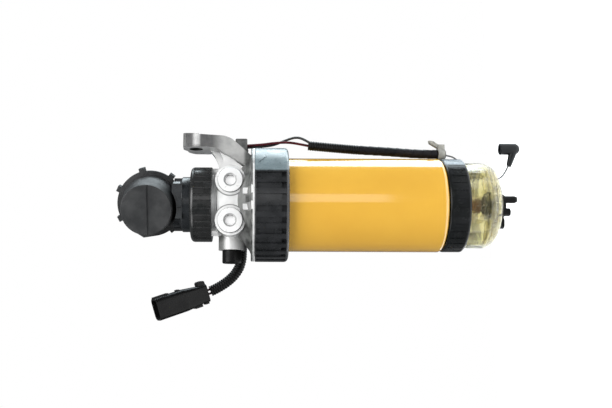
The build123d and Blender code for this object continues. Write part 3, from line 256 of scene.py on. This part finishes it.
def greatest(tree, first, *others):
    for other in others:
        first = calc(tree, "MAXIMUM", first, other)
    return first


def far(tree, first, second):
    """Distance from two offsets at right angles."""
    return calc(tree, "SQRT", calc(tree, "ADD", times(tree, first, first), times(tree, second, second)))


def coordinate(tree, axis, kind="Object"):
    where = tree.nodes.new("ShaderNodeTexCoord")
    parts = tree.nodes.new("ShaderNodeSeparateXYZ")
    tree.links.new(where.outputs[kind], parts.inputs[0])
    return parts.outputs[axis]


def offset(tree, axis, origin):
    return calc(tree, "SUBTRACT", coordinate(tree, axis), origin)


def within(tree, axis, low, high, kind="Object"):
    """0 below one place along an axis of the object and 1 above another."""
    return spread(tree, coordinate(tree, axis, kind), 0, 1, low, high)


def under(tree, value, low, high):
    """1 while a value is below one number and 0 when it is above another."""
    return spread(tree, value, 1, 0, low, high)


def band(tree, value, middle, half):
    """1 at the middle of a band, falling to 0 at its edges."""
    return under(tree, calc(tree, "ABSOLUTE", calc(tree, "SUBTRACT", value, middle)), BAND_FLAT * half, half)


def partly(tree, value, drift, low, high):
    """A mask that is patchy between two strengths."""
    return times(tree, value, spread(tree, drift, low, high, 0, 1))


def mixed(tree, factor, first, second):
    """Mix of two colours, each a plain colour or the output of another mix."""
    node = tree.nodes.new("ShaderNodeMix")
    node.data_type = "RGBA"
    tree.links.new(factor, node.inputs["Factor"])
    for name, colour in (("A", first), ("B", second)):
        if isinstance(colour, tuple):
            node.inputs[name].default_value = (*colour, 1)
        else:
            tree.links.new(colour, node.inputs[name])
    return node.outputs["Result"]


def from_ports(tree):
    """Distance from the axis of the nearer of the two ports."""
    across = calc(tree, "SUBTRACT", calc(tree, "ABSOLUTE", offset(tree, "Y", AXIS_Y)), PORT_SIDE)
    return far(tree, across, offset(tree, "Z", FLANGE_Z + PORT_HEIGHT))


def finish_surface(tree, shader, colour, rough, rough_patch, grain, depth, strength):
    """Colour, roughness that drifts between two values, and a fine grain."""
    tree.links.new(colour, shader.inputs["Base Color"])
    tree.links.new(spread(tree, noise(tree, rough_patch), *rough), shader.inputs["Roughness"])
    bump = tree.nodes.new("ShaderNodeBump")
    bump.inputs["Distance"].default_value = depth
    bump.inputs["Strength"].default_value = strength
    tree.links.new(noise(tree, grain, 2.0), bump.inputs["Height"])
    tree.links.new(bump.outputs[0], shader.inputs["Normal"])


# Materials


def surface(name, light, dark, rough=(0.4, 0.5), metal=0.0, patch=60.0, grain=900.0, depth=0.00006,
            strength=0.25, coat=0.0, coat_rough=0.1, coat_index=1.5, shine=0.5):
    """Plain surface whose colour drifts between two tones."""
    found, tree, shader = new_material(name)
    colour = mixed(tree, patches(tree, patch), dark, light)
    finish_surface(tree, shader, colour, rough, 2.3 * patch, grain, depth, strength)
    shader.inputs["Metallic"].default_value = metal
    shader.inputs["Specular IOR Level"].default_value = shine
    shader.inputs["Coat Weight"].default_value = coat
    shader.inputs["Coat Roughness"].default_value = coat_rough
    shader.inputs["Coat IOR"].default_value = coat_index
    return found


def arm_colour(tree, drift):
    """The arm's side in painted shade, light grey at the root and darker at the end, with a painted highlight
    beside the bolt hole.
    """
    light = mixed(tree, drift, (0.36, 0.36, 0.355), (0.46, 0.46, 0.45))
    # Painted shade at the arm's end
    shaded_end = mixed(tree, drift, (0.075, 0.075, 0.075), (0.125, 0.125, 0.125))
    # Painted highlight beside the bolt hole
    pale = mixed(tree, drift, (0.55, 0.55, 0.545), (0.70, 0.70, 0.69))
    highlight_streak = band(tree, coordinate(tree, "Z"), HIGHLIGHT_Z, HIGHLIGHT_HALF)
    highlight_streak = times(tree, highlight_streak, within(tree, "Y", *HIGHLIGHT_Y))
    return mixed(tree, highlight_streak, mixed(tree, within(tree, "Z", *ARM_SHADE_Z), light, shaded_end), pale)


def painted_shade_parts(tree, drift):
    """Mask of painted shade: the flare's recess between its ribs, faces that look up, shadow lines round the
    bosses, and the stub.
    """
    foot, top = ([FLANGE_Z + rise for rise in edge] for edge in (FLARE_FOOT, FLARE_TOP))
    flare = times(tree, within(tree, "Z", *foot), under(tree, coordinate(tree, "Z"), *top))
    rib = band(tree, calc(tree, "ABSOLUTE", offset(tree, "Y", AXIS_Y)), RIB_SIDE, RIB_HALF)
    rib = times(tree, rib, within(tree, "X", *RIB_X))
    flare = times(tree, flare, under(tree, rib, *RIB_EDGE))
    upward_shade = partly(tree, within(tree, "Z", *FACING_UP, "Normal"), drift, 0.75, 1.0)
    line = band(tree, from_ports(tree), BOSS_SHADOW, BOSS_SHADOW_HALF)
    line = partly(tree, times(tree, line, within(tree, "X", *BOSS_SHADOW_X)), drift, 0.65, 1.0)
    stub = partly(tree, under(tree, coordinate(tree, "Y"), *STUB_Y), drift, 0.16, 0.3)
    return greatest(tree, flare, upward_shade, line, stub)


def cast_aluminium():
    """Bright fine-grained casting with painted shade and a painted highlight on the arm's side, painted shade
    on other parts and painted shade inside the bolt hole.
    """
    found, tree, shader = new_material("cast_aluminium")
    drift = patches(tree, 120.0)
    bright = mixed(tree, drift, (0.80, 0.80, 0.795), (0.92, 0.92, 0.91))
    # Painted shade tone
    grey = mixed(tree, drift, (0.035, 0.037, 0.035), (0.15, 0.155, 0.148))
    # Painted shade for inside the bolt hole
    black = mixed(tree, drift, (0.012, 0.012, 0.012), (0.03, 0.03, 0.03))
    # Painted shade and a painted highlight on the arm's side, on faces that look at the camera
    side = times(tree, within(tree, "X", *ARM_SIDE_X), within(tree, "X", *FACING_CAMERA, "Normal"))
    side = times(tree, side, within(tree, "Y", *ARM_SIDE_Y))
    colour = mixed(tree, side, bright, arm_colour(tree, drift))
    # Painted shade on the flare, on faces that look up, round the bosses and on the stub
    colour = mixed(tree, painted_shade_parts(tree, drift), colour, grey)
    # Painted shade: the inside of the bolt hole is darkened
    hole = under(tree, far(tree, coordinate(tree, "X"), coordinate(tree, "Z")), *BOLT_HOLE_SHADE)
    colour = mixed(tree, hole, colour, black)
    finish_surface(tree, shader, colour, rough=(0.34, 0.5), rough_patch=260.0, grain=1500.0,
                   depth=0.0002, strength=0.3)
    shader.inputs["Metallic"].default_value = 0.25
    return found


def turned_plug():
    """Bright turned plug with a painted shadow line round its head, painted shade on the bevel round its
    socket and on the socket's walls, and painted light glowing on the socket's floor.
    """
    found, tree, shader = new_material("turned_aluminium")
    reach = from_ports(tree)
    drift = patches(tree, 90.0)
    bright = mixed(tree, drift, (0.84, 0.84, 0.84), (0.92, 0.92, 0.91))
    # Painted shade tone for the line round the head, the bevel and the socket's walls
    painted_shade = mixed(tree, drift, (0.085, 0.085, 0.085), (0.17, 0.17, 0.17))
    edge = partly(tree, spread(tree, reach, 0, 1, *PLUG_EDGE), drift, 0.8, 1.0)
    bevel = partly(tree, band(tree, reach, BEVEL, BEVEL_HALF), drift, 0.55, 0.72)
    # The socket's six walls stand across the port's axis and get painted shade
    steep = under(tree, calc(tree, "ABSOLUTE", coordinate(tree, "X", "Normal")), *WALL_LEAN)
    walls = times(tree, steep, under(tree, reach, *SOCKET_WALL))
    colour = mixed(tree, greatest(tree, edge, bevel, walls), bright, painted_shade)
    finish_surface(tree, shader, colour, rough=(0.26, 0.38), rough_patch=200.0, grain=2500.0,
                   depth=0.00006, strength=0.1)
    # Painted light: the socket's floor glows white
    floor = times(tree, under(tree, reach, *SOCKET_FLOOR), under(tree, steep, 0, 1))
    tree.links.new(times(tree, floor, SOCKET_PAINTED_LIGHT), shader.inputs["Emission Strength"])
    shader.inputs["Emission Color"].default_value = (*WHITE, 1)
    shader.inputs["Metallic"].default_value = 0.15
    return found


def padded_ring(name, light, dark, sheen_light, sheen_dark, rough, middle, edge, shine):
    """Glossy ring whose plain pad carries a paler, bluish painted sheen, found by its reach towards the pad's
    middle.
    """
    found, tree, shader = new_material(name)
    drift = patches(tree, 60.0)
    across = times(tree, offset(tree, "X", AXIS_X), cos(middle))
    up = times(tree, offset(tree, "Y", AXIS_Y), sin(middle))
    pad = spread(tree, calc(tree, "ADD", across, up), 0, 1, edge, edge + PAD_BLEND)
    # The pad's tone is painted sheen
    plain, painted_sheen = mixed(tree, drift, dark, light), mixed(tree, drift, sheen_dark, sheen_light)
    finish_surface(tree, shader, mixed(tree, pad, plain, painted_sheen), rough=rough, rough_patch=140.0,
                   grain=900.0, depth=0.00006, strength=0.2)
    shader.inputs["Specular IOR Level"].default_value = shine
    return found


def clear_amber():
    """Clear moulded bowl, pale olive amber, with a darker shoulder and painted olive rings that stand in for
    light bent at the shoulder.
    """
    found, tree, shader = new_material("clear_amber")
    drift = patches(tree, 35.0, 3.0)
    wall = mixed(tree, drift, (0.88, 0.82, 0.46), (0.96, 0.91, 0.61))
    floor = mixed(tree, drift, (0.60, 0.54, 0.25), (0.72, 0.66, 0.37))
    olive = mixed(tree, drift, (0.20, 0.16, 0.04), (0.34, 0.29, 0.10))
    colour = mixed(tree, within(tree, "Z", *BOWL_SHOULDER), floor, wall)
    # Painted rings standing in for light bent at the shoulder
    for height in BOWL_BENT_LIGHT:
        line = partly(tree, band(tree, coordinate(tree, "Z"), height, BOWL_BENT_LIGHT_HALF), drift, 0.6, 0.9)
        colour = mixed(tree, line, colour, olive)
    finish_surface(tree, shader, colour, rough=(0.0, 0.035), rough_patch=80.0, grain=120.0,
                   depth=0.0002, strength=0.08)
    shader.inputs["Transmission Weight"].default_value = 0.96
    shader.inputs["IOR"].default_value = 1.49
    shader.inputs["Alpha"].default_value = 0.76
    return found


# Each surface: its name, light and dark tone, range of roughness, metal, and what differs from the usual
MATERIALS = {
    "cast": cast_aluminium(),
    "bright": turned_plug(),
    "washer": surface("washer_metal", (0.55, 0.55, 0.54), (0.42, 0.42, 0.42), (0.4, 0.5), 0.9),
    # The rings' pad tones, the third and fourth colours, are painted sheen
    "ring": padded_ring(
        "ring_plastic", (0.024, 0.025, 0.027), (0.012, 0.013, 0.014), (0.20, 0.255, 0.275),
        (0.13, 0.17, 0.185), (0.24, 0.34), LOCK_PAD, LOCK_PAD_EDGE, 0.5),
    # The bowl ring is a darker copy of the lock ring's plastic: painted shade
    "bowl_ring": padded_ring(
        "bowl_ring_plastic", (0.010, 0.011, 0.012), (0.006, 0.007, 0.007), (0.15, 0.185, 0.215),
        (0.08, 0.10, 0.12), (0.2, 0.3), BOWL_PAD, BOWL_PAD_EDGE, 0.22),
    "nut": surface("nut_plastic", (0.019, 0.019, 0.019), (0.008, 0.009, 0.009), (0.22, 0.34), shine=0.6),
    "pump": surface("pump_plastic", (0.026, 0.029, 0.032), (0.013, 0.015, 0.017), (0.22, 0.32), shine=0.36),
    "cover": surface("cover_plastic", (0.046, 0.047, 0.048), (0.024, 0.025, 0.026), (0.40, 0.54),
                     shine=0.2, depth=0.0001),
    "black": surface("black_plastic", (0.006, 0.006, 0.006), (0.003, 0.003, 0.003), (0.30, 0.44), shine=0.12),
    "plug": surface("connector_plastic", (0.007, 0.007, 0.007), (0.004, 0.004, 0.004), (0.24, 0.36),
                    grain=2200.0, strength=0.10, shine=0.14),
    "clip": surface("clip_plastic", (0.125, 0.125, 0.12), (0.07, 0.07, 0.07), (0.5, 0.6), patch=200.0),
    "yellow": surface("yellow_paint", (0.82, 0.46, 0.050), (0.78, 0.425, 0.044), (0.20, 0.26),
                      patch=14.0, grain=500.0, depth=0.00003, strength=0.06, coat=1.0, coat_rough=0.085,
                      coat_index=1.95, shine=0.12),
    "inner": surface("inner_plastic", (0.24, 0.090, 0.022), (0.11, 0.038, 0.010), (0.2, 0.34)),
    "rubber": surface("seal_rubber", (0.022, 0.022, 0.022), (0.014, 0.014, 0.014), (0.6, 0.75)),
    "paper": surface("filter_paper", (0.75, 0.62, 0.36), (0.66, 0.52, 0.28), (0.8, 0.9)),
    "moulded": surface("inside_plastic", (0.13, 0.13, 0.125), (0.09, 0.09, 0.09), (0.5, 0.6)),
    "steel": surface("ground_steel", (0.62, 0.62, 0.62), (0.5, 0.5, 0.5), (0.25, 0.35), 1.0),
    "tin": surface("tinned_metal", (0.75, 0.74, 0.70), (0.62, 0.62, 0.60), (0.25, 0.35), 1.0),
    "magnet": surface("magnet_dark", (0.07, 0.07, 0.075), (0.045, 0.045, 0.05), (0.5, 0.6), 0.4),
    "iron": surface("laminated_iron", (0.34, 0.34, 0.35), (0.24, 0.24, 0.25), (0.4, 0.5), 0.9),
    "copper": surface("copper_wire", (0.70, 0.30, 0.14), (0.52, 0.20, 0.08), (0.3, 0.4), 0.8),
    "bronze": surface("bronze", (0.60, 0.42, 0.20), (0.46, 0.30, 0.13), (0.35, 0.45), 1.0),
    "brass": surface("brass", (0.75, 0.56, 0.24), (0.62, 0.44, 0.17), (0.25, 0.35), 1.0),
    "holder": surface("holder_plastic", (0.34, 0.22, 0.12), (0.26, 0.16, 0.08), (0.5, 0.6)),
    "ivory": surface("ivory_plastic", (0.72, 0.70, 0.64), (0.60, 0.58, 0.52), (0.45, 0.55)),
    "conduit": surface("conduit_black", (0.005, 0.005, 0.005), (0.003, 0.003, 0.003), (0.30, 0.42),
                       shine=0.12),
    "tape": surface("tape_black", (0.009, 0.008, 0.010), (0.004, 0.004, 0.005), (0.36, 0.55),
                    grain=1600.0, depth=0.0001, strength=0.4, shine=0.16),
    "red": surface("red_wire", (0.085, 0.009, 0.015), (0.045, 0.005, 0.008), (0.30, 0.42),
                   patch=160.0, shine=0.2),
    "dark_red": surface("dark_red_wire", (0.13, 0.018, 0.030), (0.08, 0.012, 0.020), (0.32, 0.42)),
    "wire": surface("black_wire", (0.022, 0.022, 0.022), (0.014, 0.014, 0.014), (0.3, 0.4)),
    "lead": surface("grey_lead", (0.11, 0.11, 0.11), (0.07, 0.07, 0.07), (0.4, 0.5)),
    "tie": surface("tie_grey", (0.36, 0.36, 0.33), (0.22, 0.22, 0.20), (0.4, 0.55), patch=160.0),
    "boot": surface("boot_rubber", (0.010, 0.012, 0.014), (0.005, 0.006, 0.007), (0.30, 0.44), shine=0.26),
    "amber": clear_amber(),
}

FINISH = {
    "head_casting": "cast", "port_plugs": "bright", "port_plug_washers": "washer",
    "outlet_port_cap": "black", "harness_clip": "clip", "filter_canister": "yellow",
    "canister_seal": "rubber", "pleated_media": "paper", "media_core": "moulded",
    "element_top_cap": "moulded", "element_bottom_cap": "moulded", "base_plate": "inner",
    "standpipe": "inner", "lock_ring": "ring", "water_bowl": "amber", "bowl_ring": "bowl_ring",
    "bowl_seal": "rubber", "drain_body": "black", "drain_nut": "black", "drain_screw": "black",
    "drain_seal": "rubber", "sensor_probes": "tin", "pump_nut": "nut", "pump_housing": "pump",
    "pump_seal": "rubber", "pump_front_cover": "cover", "motor_can": "pump", "motor_terminals": "tin",
    "field_magnets": "magnet", "armature": "iron", "motor_windings": "copper", "commutator": "copper",
    "motor_shaft": "steel", "shaft_bushes": "bronze", "brush_holder": "holder", "motor_brushes": "black",
    "impeller": "ivory", "impeller_plates": "steel", "check_valve_seat": "brass",
    "check_valve_poppet": "ivory", "check_valve_cage": "moulded", "harness_tie": "tie",
    "connector_housing": "plug", "connector_seal": "rubber", "connector_pins": "tin",
    "sensor_boot": "boot", "boot_terminal": "brass",
}


def dress(piece, name):
    piece.data.materials.clear()
    piece.data.materials.append(MATERIALS[name])


for node, finish in FINISH.items():
    dress(nodes[node], finish)


# Lines and tubes


def add_line(name, points, diameter=0.0):
    """Smooth line with the route's points as its control points, bare or as thick as a wire."""
    data = bpy.data.curves.new(name, "CURVE")
    data.dimensions = "3D"
    data.resolution_u = 10
    spline = data.splines.new("NURBS")
    spline.points.add(len(points) - 1)
    for spot, point in zip(spline.points, points):
        spot.co = (*point, 1.0)
    spline.order_u = 3
    spline.use_endpoint_u = True
    if diameter:
        data.bevel_depth = diameter / 2
        data.bevel_resolution = 5
        data.use_fill_caps = True
    return add_object(name, data)


def smooth_line(points):
    """The points of the smooth line that a route's points control."""
    route = add_line("route", points)
    bpy.context.view_layer.update()
    mesh = bpy.data.meshes.new_from_object(route.evaluated_get(bpy.context.evaluated_depsgraph_get()))
    line = [vertex.co.copy() for vertex in mesh.vertices]
    bpy.data.meshes.remove(mesh)
    bpy.data.objects.remove(route)
    return line


def length_of(points):
    """Length of a line along its points."""
    return sum((b - a).length for a, b in zip(points, points[1:]))


def evenly(points, step):
    """The line's points again at even steps."""
    total = length_of(points)
    count = max(2, round(total / step))
    gap = total / count
    spots, along, wanted = [points[0]], 0.0, gap
    for a, b in zip(points, points[1:]):
        run = (b - a).length
        while wanted <= along + run + 1e-9 and len(spots) < count:
            spots.append(a.lerp(b, (wanted - along) / run))
            wanted += gap
        along += run
    spots.append(points[-1])
    return spots, gap


def tube(name, points, radius_at, step=STEP, sides=SIDES):
    """Tube round a line whose radius follows the distance along it and the angle round it."""
    spots, gap = evenly(points, step)
    verts, faces = [], []
    side = (spots[1] - spots[0]).orthogonal().normalized()
    for i, spot in enumerate(spots):
        ahead = (spots[min(i + 1, len(spots) - 1)] - spots[max(i - 1, 0)]).normalized()
        side = (side - ahead * side.dot(ahead)).normalized()
        other = ahead.cross(side)
        for j in range(sides):
            angle = 2 * pi * j / sides
            reach = radius_at(i * gap, angle)
            verts.append(spot + (side * cos(angle) + other * sin(angle)) * reach)
    for i in range(len(spots) - 1):
        for j in range(sides):
            k = (j + 1) % sides
            faces.append((i * sides + j, i * sides + k, (i + 1) * sides + k, (i + 1) * sides + j))
    last = (len(spots) - 1) * sides
    faces.append(tuple(range(sides - 1, -1, -1)))
    faces.append(tuple(range(last, last + sides)))
    mesh = bpy.data.meshes.new(name)
    mesh.from_pydata(verts, [], faces)
    mesh.shade_smooth()
    return add_object(name, mesh), spots


def ribs(radius, pitch):
    """Rounded corrugations, flat-topped, with narrow valleys."""
    def reach(along, angle):
        wave = 0.5 + 0.5 * cos(2 * pi * along / pitch)
        return radius - RIB_DEPTH * (1.0 - min(1.0, RIB_FULLNESS * wave))
    return reach


def taped(radius):
    """Tape wound on with laps that step up by its thickness, a little wrinkled."""
    def reach(along, angle):
        turn = (along / TAPE_LAP + angle / (2 * pi)) % 1.0
        return radius - TAPE_STEP * turn + WRINKLE * sin(WRINKLE_TURNS * angle + along * WRINKLE_RATE)
    return reach


# The scene's own pieces


def settle(piece, finish):
    """A piece's looks and the body it rides."""
    dress(piece, finish)
    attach(piece, "head")


def conduit(node, route, reach):
    """Ribbed conduit on its route, in place of the node's smooth one, with the points along it."""
    piece, spots = tube(node + "_ribbed", smooth_line(place(route)), reach)
    settle(piece, "conduit")
    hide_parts(node)
    return piece, spots


def round_wire(node, finish, slot, route, diameter, **facts):
    """Round wire on its route, in place of the node."""
    points = place(route)
    piece = add_line(node + "_line", points, diameter)
    settle(piece, finish)
    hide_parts(node)
    length_of(smooth_line(points))


def connector_leads():
    """The two leads between the lower conduit and the connector."""
    leads = []
    for number, side in enumerate((0.5, -0.5)):
        step = [side * LEAD_SPACING * way for way in PLUG_UP]
        points = place([[a + b for a, b in zip(point, step)] for point in LEAD_ROUTE])
        lead = add_line(f"connector_lead_{number}", points, LEAD_DIAMETER)
        settle(lead, "dark_red")
        leads.append(lead)
    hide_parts("connector_leads")
    return leads


def lower_conduit():
    """Conduit round the back of the head to the connector."""
    piece, spots = conduit("lower_conduit", LOWER_ROUTE, ribs(LOWER_DIAMETER / 2, LOWER_PITCH))
    plug = [nodes[name] for name in ("connector_housing", "connector_seal", "connector_pins")]
    plug + connector_leads()


def upper_conduit():
    """Conduit whose far part is wound with tape."""
    rib = ribs(UPPER_DIAMETER / 2, UPPER_PITCH)
    wound = taped(UPPER_DIAMETER / 2 - TAPE_SINK)

    def reach(along, angle):
        return rib(along, angle) if along < TAPE_START else wound(along, angle)

    piece, spots = conduit("upper_conduit", UPPER_ROUTE, reach)
    piece.data.materials.append(MATERIALS["tape"])
    for number, polygon in enumerate(piece.data.polygons):
        if number // SIDES * STEP >= TAPE_START:
            polygon.material_index = 1


def valve_spring():
    """Coil of the check valve's spring, between the valve's disc and the roof of its cage."""
    low, high = SPRING_LOW + SPRING_WIRE, SPRING_HIGH - SPRING_WIRE
    coil = []
    for i in range(COIL_POINTS + 1):
        angle, height = 2 * pi * SPRING_TURNS * i / COIL_POINTS, low + (high - low) * i / COIL_POINTS
        coil.append((SPRING_RADIUS * cos(angle), SPRING_RADIUS * sin(angle), height))
    piece, _ = tube("valve_spring_coil", place(coil), lambda along, angle: SPRING_WIRE / 1000,
                    COIL_STEP, COIL_SIDES)
    settle(piece, "steel")
    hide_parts("check_valve_spring")
    height = SPRING_HIGH - SPRING_LOW
    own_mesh(piece)


valve_spring()
lower_conduit()
round_wire("red_wire", "red", "red_wire", RED_ROUTE, WIRE_DIAMETER,
           far_end="object", stiffness="medium", lay="taut")
round_wire("black_wire", "wire", "black_wire", BLACK_ROUTE, WIRE_DIAMETER,
           far_end="object", stiffness="medium", lay="loose")
upper_conduit()
round_wire("sensor_lead", "lead", "thin_lead", SENSOR_ROUTE, SENSOR_DIAMETER,
           far_end="connector", stiffness="medium", lay="loose",
           with_pieces=[nodes["sensor_boot"], nodes["boot_terminal"]])


# Light and floor


def softbox(name, towards, distance, size, brightness, colour):
    """Area light at a direction from the middle of the object, given by how bright its face looks."""
    data = bpy.data.lights.new(name, "AREA")
    data.shape = "RECTANGLE"
    data.size, data.size_y = size
    data.energy = brightness * pi * size[0] * size[1]
    data.color = colour
    lamp = add_object(name, data)
    where = LIGHT_CENTRE + distance * Vector(towards).normalized()
    lamp.location = where
    lamp.rotation_euler = (LIGHT_CENTRE - where).to_track_quat("-Z", "Y").to_euler()


for name, settings in SOFTBOXES.items():
    softbox(name, *settings)


def studio():
    """White to the camera, a dim grey room to everything else."""
    world = bpy.data.worlds.new("studio")
    world.use_nodes = True
    tree = world.node_tree
    tree.nodes.clear()
    out = tree.nodes.new("ShaderNodeOutputWorld")
    both = tree.nodes.new("ShaderNodeMixShader")
    rays = tree.nodes.new("ShaderNodeLightPath")
    tree.links.new(rays.outputs["Is Camera Ray"], both.inputs[0])
    for socket, colour in ((1, ROOM), (2, WHITE)):
        backdrop = tree.nodes.new("ShaderNodeBackground")
        backdrop.inputs["Color"].default_value = (*colour, 1)
        tree.links.new(backdrop.outputs[0], both.inputs[socket])
    tree.links.new(both.outputs[0], out.inputs["Surface"])
    bpy.context.scene.world = world


def add_floor():
    """White floor a little under the part, too small for its edge to show from the front."""
    found, tree, shader = new_material("pale_floor")
    tree.links.new(mixed(tree, patches(tree, 3.0, 3.0), *FLOOR_TONES), shader.inputs["Base Color"])
    shader.inputs["Roughness"].default_value = 0.8
    shader.inputs["Emission Color"].default_value = (*WHITE, 1)
    shader.inputs["Emission Strength"].default_value = 1.0
    half, height = FLOOR_HALF, cad_box[0][2] - FLOOR_DROP
    mesh = bpy.data.meshes.new("floor")
    corners = [(-half, -half, height), (half, -half, height), (half, half, height), (-half, half, height)]
    mesh.from_pydata(corners, [], [(0, 1, 2, 3)])
    mesh.materials.append(found)
    add_object("floor", mesh)


studio()
add_floor()
